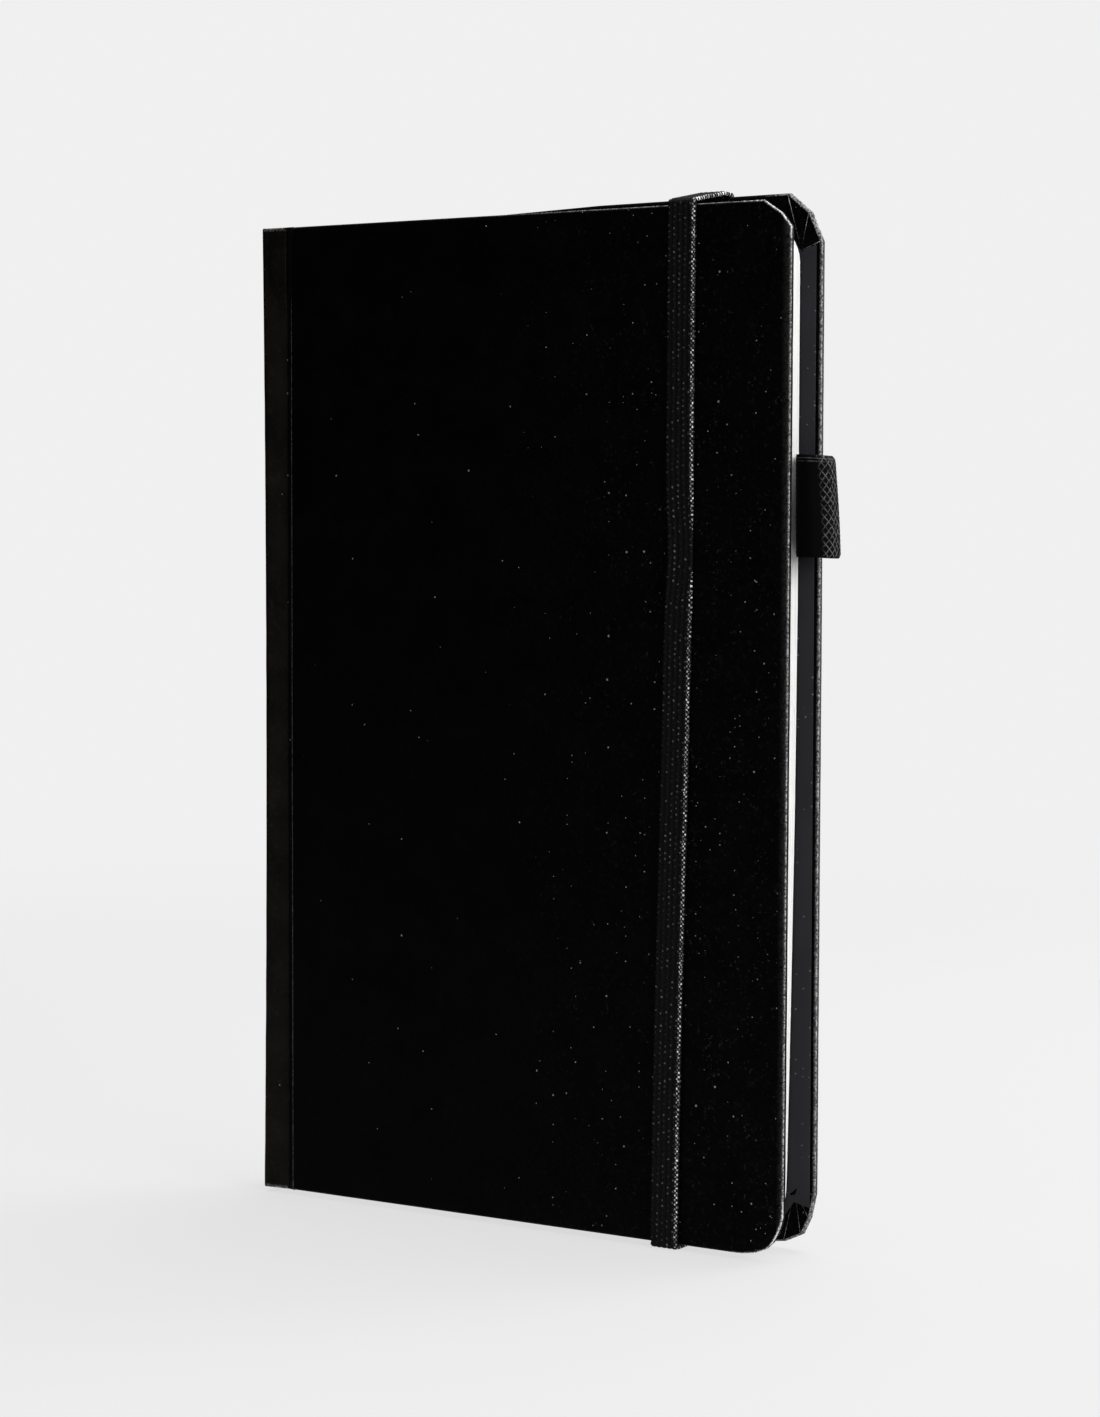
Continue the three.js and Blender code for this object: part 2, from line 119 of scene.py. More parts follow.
# ---------------------------------------------------------------- node helpers
class Nodes:
    """Short hand for building one material's node tree."""

    def __init__(self, name):
        self.material = bpy.data.materials.new(name)
        self.material.use_nodes = True
        self.tree = self.material.node_tree
        self.shader = self.tree.nodes["Principled BSDF"]

    def node(self, kind, inputs=(), **settings):
        n = self.tree.nodes.new(kind)
        for key, value in settings.items():
            setattr(n, key, value)
        for key, value in dict(inputs).items():
            self.feed(n.inputs[key], value)
        return n

    def feed(self, socket, value):
        if isinstance(value, bpy.types.NodeSocket):
            self.tree.links.new(value, socket)
        else:
            socket.default_value = value

    def set(self, **inputs):
        for key, value in inputs.items():
            self.feed(self.shader.inputs[key.replace("_", " ")], value)

    def math(self, op, a, b=0.0, clamp=False):
        n = self.node("ShaderNodeMath", {0: a, 1: b}, operation=op, use_clamp=clamp)
        return n.outputs[0]

    def ramp(self, value, low, high):
        limits = {"Value": value, "From Min": low, "From Max": high}
        return self.node("ShaderNodeMapRange", limits, clamp=True).outputs["Result"]

    def mix(self, factor, a, b):
        n = self.node("ShaderNodeMix", data_type="RGBA")
        self.feed(n.inputs[0], factor)
        self.feed(n.inputs[6], a)
        self.feed(n.inputs[7], b)
        return n.outputs[2]

    def coords(self, attribute=None):
        if attribute:
            return self.node("ShaderNodeAttribute", attribute_name=attribute).outputs["Vector"]
        return self.node("ShaderNodeTexCoord").outputs["Object"]

    def noise(self, vector, size_mm, detail=2.0, rough=0.5):
        inputs = {"Vector": vector, "Scale": 1000 / size_mm, "Detail": detail, "Roughness": rough}
        return self.node("ShaderNodeTexNoise", inputs).outputs["Fac"]

    def voronoi(self, vector, size_mm, **settings):
        return self.node("ShaderNodeTexVoronoi", {"Vector": vector, "Scale": 1000 / size_mm}, **settings)

    def split(self, vector):
        """The X, Y and Z of a vector."""
        parts = self.node("ShaderNodeSeparateXYZ", {"Vector": vector}).outputs
        return parts["X"], parts["Y"], parts["Z"]

    def join(self, *parts):
        return self.node("ShaderNodeCombineXYZ", dict(enumerate(parts))).outputs[0]

    def attribute(self, name):
        return self.node("ShaderNodeAttribute", attribute_name=name).outputs["Fac"]

    def product(self, first, *factors):
        for factor in factors:
            first = self.math("MULTIPLY", first, factor)
        return first

    def bump(self, height, strength, distance_mm, normal=None):
        inputs = {"Height": height, "Strength": strength, "Distance": distance_mm / 1000}
        n = self.node("ShaderNodeBump", inputs)
        if normal is not None:
            self.feed(n.inputs["Normal"], normal)
        return n.outputs["Normal"]


def grey(x, tint=(1, 1, 1)):
    return (x * tint[0], x * tint[1], x * tint[2], 1)


def specks(m, vector, cell_mm, radius_mm, share):
    """Mask of round specks of dust, sparse by share, on a flat pair of coordinates."""
    v = m.voronoi(vector, cell_mm, voronoi_dimensions="2D")
    picked = m.node("ShaderNodeSeparateColor", {"Color": v.outputs["Color"]})
    size = m.math("MULTIPLY", m.math("ADD", picked.outputs[1], 0.4), radius_mm / cell_mm)
    near = m.math("LESS_THAN", v.outputs["Distance"], size)
    return m.math("MULTIPLY", near, m.math("LESS_THAN", picked.outputs[0], share))


def leatherette(name, base, roughness, specular, tint=(1, 1, 1), wear_and_highlight=True, coords=None):
    """Black coated cloth: fine grain, faint mottling, dust specks that gather towards the fore edge, painted
    sheen as lighter mottling and flecks towards the fore edge and along the front fore-edge rim, and rims
    painted light for wear and highlight.
    """
    m = Nodes(name)
    vector = m.coords(coords)
    x, y, z = m.split(vector)
    flat = m.join(m.math("ADD", x, y), z)
    # Towards the fore edge the mottling grows stronger: painted sheen.
    outer = m.ramp(x, -0.01, 0.045)
    grain = m.voronoi(vector, 0.55, feature="SMOOTH_F1").outputs["Distance"]
    fine = m.noise(vector, 0.25, 3)
    blotch = m.noise(vector, 9, 4, 0.6)
    mottle = m.ramp(m.noise(vector, 1.1, 4, 0.75), 0.55, 0.68)
    mottle = m.math("MULTIPLY", mottle, m.math("ADD", m.math("MULTIPLY", outer, 0.75), 0.25))
    color = m.mix(m.ramp(blotch, 0.35, 0.7), grey(base * 0.4, tint), grey(base * 1.6, tint))
    color = m.mix(mottle, color, grey(base * 6, tint))
    # Towards the fore edge the dust specks grow denser, and the lighter flecks there are painted sheen.
    dust_and_sheen_patch = m.math("MULTIPLY", outer, m.ramp(m.noise(vector, 6, 3, 0.6), 0.42, 0.62))
    share = m.math("ADD", m.math("MULTIPLY", dust_and_sheen_patch, 0.075), 0.003)
    large_share = m.math("ADD", m.math("MULTIPLY", share, 2.0), 0.02)
    dust = m.math("MAXIMUM", specks(m, flat, 1.1, 0.12, share), specks(m, flat, 4.3, 0.17, large_share))
    fleck = m.ramp(m.noise(vector, 0.75, 2, 0.7), 0.63, 0.72)
    color = m.mix(m.math("MULTIPLY", fleck, dust_and_sheen_patch), color, grey(0.020))
    color = m.mix(dust, color, grey(0.20))
    # Painted sheen: a lighter speckled line on the front outer face along the fore-edge rim.
    edge_sheen = m.ramp(x, at(COVER_WIDTH - 1.9, 0, 0).x, at(COVER_WIDTH - 0.7, 0, 0).x)
    outside = m.ramp(m.math("ABSOLUTE", y), (THICK / 2 - 0.5) / 1000, (THICK / 2 - 0.2) / 1000)
    edge_sheen = m.product(edge_sheen, outside, m.ramp(m.noise(vector, 0.5, 3, 0.8), 0.36, 0.60))
    color = m.mix(edge_sheen, color, grey(0.018))
    # Rims marked by the vertex attribute turn light grey: partly wear, partly painted highlight.
    if wear_and_highlight:
        broken = m.ramp(m.noise(vector, 0.55, 3, 0.85), 0.45, 0.57)
        worn_and_lit = m.math("MULTIPLY", m.attribute("wear_and_highlight"), m.math("ADD", m.math("MULTIPLY", broken, 1.1), 0.15))
        color = m.mix(m.math("MULTIPLY", worn_and_lit, 1.0, True), color, grey(0.62, (1.0, 0.99, 0.98)))
    m.set(Base_Color=color)
    m.set(Roughness=m.math("ADD", m.math("MULTIPLY", m.noise(vector, 3, 3), 0.12), roughness - 0.06))
    m.set(Specular_IOR_Level=specular)
    m.set(Normal=m.bump(fine, 0.25, 0.02, m.bump(grain, 0.35, 0.05)))
    return m.material


cover_material = leatherette("black leatherette", 0.0007, 0.50, 0.02)
# The spine strip's leatherette has a base about five times the cover's: painted sheen where the strip faces
# the light.
spine_sheen_material = leatherette("black leatherette spine", 0.0036, 0.46, 0.05, (1.2, 1.0, 0.78))
joint_material = leatherette("black leatherette groove", 0.0014, 0.5, 0.04, wear_and_highlight=False, coords="rest")


def endpaper(name, coords=None):
    m = Nodes(name)
    vector = m.coords(coords)
    fibre = m.noise(vector, 0.5, 4, 0.65)
    cloud = m.noise(vector, 14, 3)
    x, _, z = m.split(vector)
    flat = m.join(x, z)
    color = m.mix(m.ramp(cloud, 0.3, 0.7), (0.0070, 0.0068, 0.0095, 1), (0.0110, 0.0107, 0.0150, 1))
    color = m.mix(specks(m, flat, 1.6, 0.13, 0.14), color, grey(0.13, (0.95, 0.98, 1.05)))
    m.set(Base_Color=color, Roughness=0.72, Specular_IOR_Level=0.3, Normal=m.bump(fibre, 0.3, 0.03))
    return m.material


endpaper_material = endpaper("dark endpaper")
flyleaf_material = endpaper("dark flyleaf", "rest")


def paper(name, coords=None):
    m = Nodes(name)
    vector = m.coords(coords)
    fibre = m.noise(vector, 0.35, 5, 0.7)
    cloud = m.noise(vector, 22, 3)
    color = m.mix(m.ramp(cloud, 0.3, 0.75), (0.885, 0.885, 0.872, 1), (0.905, 0.905, 0.895, 1))
    x, y, z = m.split(vector)
    stack = m.join(m.math("MULTIPLY", x, 0.01), y, m.math("MULTIPLY", z, 0.01))
    leaf_lines = m.product(m.ramp(m.noise(stack, 0.30, 2, 0.7), 0.50, 0.68), 0.30, m.attribute("edge"))
    color = m.mix(leaf_lines, color, (0.50, 0.50, 0.49, 1))
    m.set(Base_Color=color, Roughness=0.8, Specular_IOR_Level=0.25, Normal=m.bump(fibre, 0.25, 0.025))
    return m.material


paper_material = paper("drawing paper")
leaf_material = paper("drawing paper leaf", "rest")


def board():
    m = Nodes("grey board")
    vector = m.coords()
    fibre = m.noise(vector, 0.6, 5, 0.7)
    fleck = m.ramp(m.noise(vector, 0.9, 3), 0.62, 0.72)
    color = m.mix(fibre, (0.22, 0.205, 0.18, 1), (0.36, 0.34, 0.30, 1))
    color = m.mix(fleck, color, (0.12, 0.11, 0.10, 1))
    m.set(Base_Color=color, Roughness=0.9, Normal=m.bump(fibre, 0.4, 0.06))
    return m.material


board_material = board()


def lining():
    m = Nodes("lining cloth")
    vector = m.coords()
    x, y, z = m.split(vector)
    threads = 2 * math.pi / 0.0008
    warp = m.math("SINE", m.math("MULTIPLY", z, threads))
    weft = m.math("SINE", m.math("MULTIPLY", m.math("ADD", y, x), threads))
    weave = m.math("MULTIPLY", warp, weft)
    color = m.mix(m.ramp(weave, -0.6, 0.8), (0.42, 0.39, 0.31, 1), (0.70, 0.66, 0.55, 1))
    m.set(Base_Color=color, Roughness=0.9, Normal=m.bump(weave, 0.5, 0.1))
    return m.material


lining_material = lining()


def webbing(name, pitch, repeat, width, base):
    """Narrow woven elastic. Its UV holds millimetres: across from the left selvedge, along from the head
    slot. Light stitches stand in columns pitch apart, and a chain of them runs down the right selvedge,
    painted near white as a highlight."""
    m = Nodes(name)
    uv = m.node("ShaderNodeUVMap", uv_map="weave").outputs["UV"]
    across, along, _ = m.split(uv)
    wander = m.math("MULTIPLY", m.math("SUBTRACT", m.noise(uv, 2600, 3, 0.7), 0.5), 0.9)

    def stitches(columns, start, step, sharp, shift):
        """Round dots: mask, and a random value for each."""
        place = m.math("DIVIDE", m.math("SUBTRACT", m.math("ADD", across, wander), start), columns)
        column = m.math("ROUND", place)
        phase = m.math("MULTIPLY", column, shift)
        row = m.math("ADD", m.math("DIVIDE", m.math("ADD", along, wander), step), phase)
        line = m.math("ROUND", row)
        dx = m.math("MULTIPLY", m.math("SUBTRACT", place, column), columns)
        dy = m.math("MULTIPLY", m.math("SUBTRACT", row, line), step)
        far = m.math("SQRT", m.math("ADD", m.math("MULTIPLY", dx, dx), m.math("MULTIPLY", dy, dy)))
        cell = {"Vector": m.join(column, line)}
        luck = m.node("ShaderNodeTexWhiteNoise", cell, noise_dimensions="2D").outputs["Value"]
        return m.ramp(far, sharp, sharp * 0.45), luck

    dot, luck = stitches(pitch, 0.35, repeat, 0.26, 0.37)
    strength = m.math("MULTIPLY", dot, m.math("POWER", luck, 3.0))
    chain_dot, chain_luck = stitches(0.34, width - 0.46, 0.95, 0.25, 0.5)
    past_start = m.ramp(across, width - 0.66, width - 0.56)
    at_chain = m.math("MULTIPLY", past_start, m.ramp(across, width + 0.06, width - 0.02))
    chain_strength = m.math("ADD", m.math("MULTIPLY", m.math("POWER", chain_luck, 1.6), 0.9), 0.1)
    selvedge_highlight = m.product(chain_dot, at_chain, chain_strength)
    rib = m.math("SINE", m.math("MULTIPLY", across, 2 * math.pi / pitch))
    stitch = m.math("SINE", m.math("MULTIPLY", along, 2 * math.pi / repeat))
    weave = m.math("ADD", m.math("MULTIPLY", rib, 0.5), m.math("MULTIPLY", stitch, 0.5))
    color = m.mix(m.ramp(m.noise(uv, 400, 3), 0.4, 0.7), grey(base * 0.5), grey(base * 1.6))
    off_chain = m.math("SUBTRACT", 1.0, at_chain)
    color = m.mix(m.math("MULTIPLY", strength, off_chain), color, grey(0.12))
    # Painted highlight: the right selvedge's chain of dots is painted near white.
    color = m.mix(selvedge_highlight, color, grey(0.90))
    m.set(Base_Color=color, Roughness=0.85, Specular_IOR_Level=0.08)
    m.set(Normal=m.bump(m.math("ADD", weave, m.math("MULTIPLY", dot, 0.6)), 0.5, 0.10))
    return m.material


BAND_RIB = 1.22  # columns of the weave
band_material = webbing("woven elastic", BAND_RIB, 1.17, 6.2, 0.0040)


def knit():
    """Knitted elastic of the pen loop: its diamond lines are painted light only on the outer turn, which
    faces the light, as a painted highlight; nearer the cover it stays dark.
    Its UV holds millimetres: along the sheet, and up from the tail edge."""
    m = Nodes("knitted elastic")
    uv = m.node("ShaderNodeUVMap", uv_map="weave").outputs["UV"]
    length, height, _ = m.split(uv)
    wobble = m.math("MULTIPLY", m.math("SUBTRACT", m.noise(uv, 1500, 3, 0.6), 0.5), 0.5)
    a = m.math("MULTIPLY", m.math("ADD", length, wobble), math.pi / 1.3)
    b = m.math("MULTIPLY", m.math("ADD", height, wobble), math.pi / 1.8)
    one = m.math("ABSOLUTE", m.math("SINE", m.math("ADD", a, b)))
    two = m.math("ABSOLUTE", m.math("SINE", m.math("SUBTRACT", a, b)))
    lines = m.ramp(m.math("MINIMUM", one, two), 0.40, 0.08)
    # This attribute marks the loop's outer turn, which faces the light; the light diamond lines drawn only
    # there are a painted highlight.
    outer = m.attribute("wear_and_highlight")
    hems = 0.0
    for level in (LOOP_HEIGHT - 0.7, LOOP_HEIGHT - 1.3):
        away = m.math("ABSOLUTE", m.math("SUBTRACT", height, level))
        hems = m.math("MAXIMUM", hems, m.ramp(away, 0.16, 0.05))
    thread = m.math("MAXIMUM", m.math("MULTIPLY", lines, outer), m.math("MULTIPLY", hems, 0.6))
    thread = m.math("MULTIPLY", thread, m.ramp(m.noise(uv, 900, 2, 0.6), 0.30, 0.60))
    color = m.mix(thread, grey(0.0020), grey(0.105))
    m.set(Base_Color=color, Roughness=0.85, Specular_IOR_Level=0.04)
    m.set(Normal=m.bump(m.math("MULTIPLY", lines, outer), 0.6, 0.12))
    return m.material


knit_material = knit()


# ---------------------------------------------------------------- mesh helpers
def new_object(name, mesh, material, body=None, replaces=(), smooth=True):
    obj = bpy.data.objects.new(name, mesh)
    bpy.context.scene.collection.objects.link(obj)
    mesh.materials.clear()
    mesh.materials.append(material)
    for p in mesh.polygons:
        p.use_smooth = smooth
    if replaces:
        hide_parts(*replaces)
    if body:
        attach(obj, body)
    return obj


def store_wear_and_highlight(mesh, rule):
    """A 0..1 value per vertex that the materials paint as a light rim: partly wear, partly painted
    highlight.
    """
    layer = mesh.attributes.new("wear_and_highlight", "FLOAT", "POINT")
    layer.data.foreach_set("value", [rule(v.co) for v in mesh.vertices])


def store_rest(mesh):
    layer = mesh.attributes.new("rest", "FLOAT_VECTOR", "POINT")
    layer.data.foreach_set("vector", [x for v in mesh.vertices for x in v.co])


def store_edges(mesh):
    """1 on the cut edges of the leaves, 0 on their flat faces."""
    layer = mesh.attributes.new("edge", "FLOAT", "FACE")
    layer.data.foreach_set("value", [float(abs(p.normal.y) < 0.5) for p in mesh.polygons])


def closed_mesh(name, verts, faces):
    """A mesh of points in the book's millimetres, with its faces turned outwards."""
    mesh = bpy.data.meshes.new(name)
    mesh.from_pydata([at(*v) for v in verts], [], faces)
    bm = bmesh.new()
    bm.from_mesh(mesh)
    bmesh.ops.recalc_face_normals(bm, faces=bm.faces)
    bm.to_mesh(mesh)
    bm.free()
    return mesh


def store_weave(mesh, uvs, wear_and_highlight_values):
    """The webbing's own millimetres as a UV map, and its value for painted highlight and wear, for each
    vertex.
    """
    layer = mesh.uv_layers.new(name="weave")
    for loop in mesh.loops:
        layer.data[loop.index].uv = uvs[loop.vertex_index]
    wear_and_highlight = mesh.attributes.new("wear_and_highlight", "FLOAT", "POINT")
    wear_and_highlight.data.foreach_set("value", wear_and_highlight_values)


def double_sheet_faces(rows, m):
    """Faces of a closed sheet whose every row holds its m points on one side, then its m on the other."""
    per = 2 * m
    faces = []
    for i in range(rows - 1):
        a, b = i * per, (i + 1) * per
        for j in range(m - 1):
            faces.append((a + j, a + j + 1, b + j + 1, b + j))
            faces.append((b + m + j, b + m + j + 1, a + m + j + 1, a + m + j))
        faces.append((a, b, b + m, a + m))
        faces.append((a + m - 1, a + 2 * m - 1, b + 2 * m - 1, b + m - 1))
    last = (rows - 1) * per
    for j in range(m - 1):
        faces.append((j, m + j, m + j + 1, j + 1))
        faces.append((last + j, last + j + 1, last + m + j + 1, last + m + j))
    return faces


def join_rings(bm, rings):
    """Faces between neighbouring rings of vertices, and over the first and last ring."""
    n = len(rings[0])
    for low, high in zip(rings, rings[1:]):
        for i in range(n):
            j = (i + 1) % n
            bm.faces.new((low[i], low[j], high[j], high[i]))
    bm.faces.new(rings[0])
    bm.faces.new(list(reversed(rings[-1])))


def apply_modifiers(obj):
    depsgraph = bpy.context.evaluated_depsgraph_get()
    mesh = bpy.data.meshes.new_from_object(obj.evaluated_get(depsgraph))
    obj.modifiers.clear()
    obj.data = mesh
    return mesh


def outline(width, height, tail, head, fall=((COVER_START, 0.0),)):
    return (
        [(COVER_START, 0.0)]
        + [(width - dx, dz) for dx, dz in tail]
        + [(width - dx, height - dz) for dx, dz in reversed(head)]
        + [(x, height - dz) for x, dz in fall]
    )


def inset(points, d):
    """A convex outline moved inwards by d."""
    out = []
    n = len(points)
    for i, p in enumerate(points):
        lines = []
        for a, b in ((points[i - 1], p), (p, points[(i + 1) % n])):
            dx, dz = b[0] - a[0], b[1] - a[1]
            length = math.hypot(dx, dz)
            nx, nz = -dz / length, dx / length
            lines.append((nx, nz, nx * a[0] + nz * a[1] + d))
        (a1, b1, c1), (a2, b2, c2) = lines
        det = a1 * b2 - a2 * b1
        out.append(((c1 * b2 - c2 * b1) / det, (a1 * c2 - a2 * c1) / det))
    return out


def edge_distance(points, x, z):
    """How far (x, z) is inside a convex outline."""
    best = 1e9
    for i, a in enumerate(points):
        b = points[(i + 1) % len(points)]
        dx, dz = b[0] - a[0], b[1] - a[1]
        length = math.hypot(dx, dz)
        best = min(best, (-dz * (x - a[0]) + dx * (z - a[1])) / length)
    return best


def rounded_slab(points, y0, y1, radius, steps=5):
    """Closed bmesh of a convex outline between two depths with rounded rims, in millimetres."""
    bm = bmesh.new()
    rings = []
    angles = [math.pi / 2 * i / steps for i in range(steps + 1)]
    rows = [(radius * (1 - math.sin(a)), y0 + radius * (1 - math.cos(a))) for a in angles]
    rows += [(radius * (1 - math.cos(a)), y1 - radius * (1 - math.sin(a))) for a in angles]
    for d, y in rows:
        rings.append([bm.verts.new((x, y, z)) for x, z in inset(points, d)])
    join_rings(bm, rings)
    bmesh.ops.recalc_face_normals(bm, faces=bm.faces)
    return bm


def cut_grid(bm, axis, values):
    normal = [0, 0, 0]
    normal[axis] = 1
    for value in values:
        co = [0, 0, 0]
        co[axis] = value
        everything = bm.verts[:] + bm.edges[:] + bm.faces[:]
        bmesh.ops.bisect_plane(bm, geom=everything, plane_co=co, plane_no=normal, dist=1e-5)


def place(bm, mirror=False):
    """Turn a millimetre bmesh in book coordinates into metres in the row frame."""
    for v in bm.verts:
        x, y, z = v.co
        v.co = at(x, THICK - y if mirror else y, z)
    if mirror:
        bmesh.ops.reverse_faces(bm, faces=bm.faces)


def to_mesh(bm, name):
    mesh = bpy.data.meshes.new(name)
    bm.to_mesh(mesh)
    bm.free()
    return mesh


def span(start, stop, step):
    n = max(1, round((stop - start) / step))
    return [start + (stop - start) * i / n for i in range(n + 1)]


# ---------------------------------------------------------------- covers
def cover(name, points, mirror, body, height, width):
    bm = rounded_slab(points, 0, TURN_IN_FACE, 0.75)
    window = (COVER_START + 1.2, width - TURN_IN, TURN_IN, height - TURN_IN)
    cut_grid(bm, 0, sorted(span(COVER_START + 3, width - 3, 5.0) + [window[0], window[1]]))
    cut_grid(bm, 2, sorted(span(3, height - 3, 5.0) + [window[2], window[3]]))
    inner = [
        f
        for f in bm.faces
        if all(v.co.y > TURN_IN_FACE - 1e-4 for v in f.verts)
        and window[0] < f.calc_center_median().x < window[1]
        and window[2] < f.calc_center_median().z < window[3]
    ]
    bmesh.ops.delete(bm, geom=inner, context="FACES")
    for v in bm.verts:
        x, y, z = v.co
        n = noise.noise(Vector((x / 45, z / 45, 3.7 if mirror else 0)))
        ripple = noise.noise(Vector((x / 9, z / 9, 9.1 if mirror else 5)))
        if y < 0.02:
            v.co.y += 0.05 * n + 0.012 * ripple
        # the wrapped rims are never quite straight
        if edge_distance(points, x, z) < 0.8:
            v.co.y += 0.05 * ripple
            v.co.x += 0.05 * noise.noise(Vector((z / 6, x / 6, 2)))
    place(bm, mirror)
    mesh = to_mesh(bm, name)
    obj = bpy.data.objects.new(name, mesh)
    bpy.context.scene.collection.objects.link(obj)
    solid = obj.modifiers.new("thickness", "SOLIDIFY")
    solid.thickness = SKIN / 1000
    solid.offset = -1
    return obj


front_outline = outline(COVER_WIDTH, FRONT_HEIGHT, FRONT_TAIL_CORNER, FRONT_HEAD_CORNER)
back_outline = outline(BACK_WIDTH, BACK_HEIGHT, BACK_TAIL_CORNER, BACK_HEAD_CORNER, BACK_HEAD_FALL)


def peak(value, middle, reach):
    """1 at the middle, falling to 0 at reach away from it."""
    return max(0.0, 1 - abs(value - middle) / reach)


def cover_wear_and_highlight(points, mirror):
    """How light the rims are painted: wear with painted highlights, most on the outer rim, the corners and
    the fore edge.
    """

    def rule(co):
        x, y, z = book_point(co)
        if mirror:
            y = THICK - y
        if edge_distance(points, x, z) > 0.55 or y > TURN_IN_FACE - 0.1:
            return 0.0
        rim = peak(y, 0.5, 0.22) + max(0.0, 0.16 - abs(y - 0.3))
        # At the spine-side edge of the board a light line is a painted highlight on the groove's rim.
        if x < COVER_START + 2:
            return 0.30 if 0.1 < y < 0.6 and x < COVER_START + 1.2 else 0.10 * rim
        head, tail = z > FRONT_HEIGHT - 3 and x < COVER_WIDTH - 9, z < 3 and x < COVER_WIDTH - 11
        corner = x > COVER_WIDTH - 11 and (z < 9 or z > FRONT_HEIGHT - 7)
        # The back cover's fore-edge side is painted lit across its whole depth with two brighter lines, and
        # its corners lighter still: painted highlight.
        if mirror and not (head or tail):
            return rim + 0.35 if corner else 0.10 + 0.5 * peak(y, 1.45, 0.25) + 0.45 * peak(y, 0.45, 0.25)
        # Front corners: painted highlights on the folded leatherette.
        if corner:
            return 2.0 * rim
        # Along the head the light line is painted brighter towards the fore edge: painted highlight.
        if head:
            return rim * (0.10 + 0.35 * min(1, max(0, (x - 55) / 30)))
        if tail:
            return rim * 0.2
        # Elsewhere the outer rim gets a light line: wear with painted highlight.
        return 0.62 * rim

    return rule


def finish_cover(obj, points, mirror, body, node):
    mesh = apply_modifiers(obj)
    mesh.materials.clear()
    mesh.materials.append(cover_material)
    store_wear_and_highlight(mesh, cover_wear_and_highlight(points, mirror))
    for p in mesh.polygons:
        p.use_smooth = True
    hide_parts(node)
    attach(obj, body)


front_cover = cover("front_cover_skin_look", front_outline, False, "front_cover", FRONT_HEIGHT, COVER_WIDTH)
back_cover = cover("back_cover_skin_look", back_outline, True, "back_cover", BACK_HEIGHT, BACK_WIDTH)


def cutter(x0, x1, y0, y1, z0, z1):
    bm = bmesh.new()
    bmesh.ops.create_cube(bm, size=1)
    for v in bm.verts:
        v.co = at(x1 if v.co.x > 0 else x0, y1 if v.co.y > 0 else y0, z1 if v.co.z > 0 else z0)
    obj = bpy.data.objects.new("cutter", to_mesh(bm, "cutter"))
    bpy.context.scene.collection.objects.link(obj)
    return obj


def band_x(w):
    """Middle of the elastic band: it leans, and swings a little on the way."""
    t = w / FRONT_HEIGHT
    return 103.2 + 3.1 * t + 0.35 * math.sin(2 * math.pi * (t - 0.35))


SLOT = 13.0  # the band's slots, from the ends of the back cover
cutters = []
for slot_w, side in ((SLOT, 1), (BACK_HEIGHT - SLOT, -1)):
    x = band_x(0 if side > 0 else FRONT_HEIGHT)
    middle = slot_w + side * 0.5
    cutters.append(cutter(x - 3.5, x + 3.5, 11.5, 16, middle - 0.75, middle + 0.75))
for tool in cutters:
    cut = back_cover.modifiers.new("slot", "BOOLEAN")
    cut.operation = "DIFFERENCE"
    cut.solver = "EXACT"
    cut.object = tool
finish_cover(front_cover, front_outline, False, "front_cover", "front_cover_skin")
finish_cover(back_cover, back_outline, True, "back_cover", "back_cover_skin")
for tool in cutters:
    bpy.data.objects.remove(tool)


def pastedown(name, points, mirror, body, node, height, width):
    bm = rounded_slab(points, TURN_IN_FACE + 0.01, COVER_INSIDE, 0.05, 1)
    cut_grid(bm, 0, span(COVER_START + 8, width - 6, 4.0) + [width - TURN_IN, width - TURN_IN - 1.2])
    turn_ins = [TURN_IN, TURN_IN + 1.2, height - TURN_IN, height - TURN_IN - 1.2]
    cut_grid(bm, 2, span(8, height - 8, 4.0) + turn_ins)
    for v in bm.verts:
        x, y, z = v.co
        inside = min(width - TURN_IN - x, z - TURN_IN, height - TURN_IN - z)
        sink = 0.1 * min(1, max(0, inside / 1.2))  # the paper dips past the turned-in leatherette
        if y > TURN_IN_FACE + 0.1:
            v.co.y -= sink - 0.015 * noise.noise(Vector((x / 12, z / 12, 4)))
        else:
            v.co.y -= sink
    place(bm, mirror)
    new_object(name, to_mesh(bm, name), endpaper_material, body, [node])


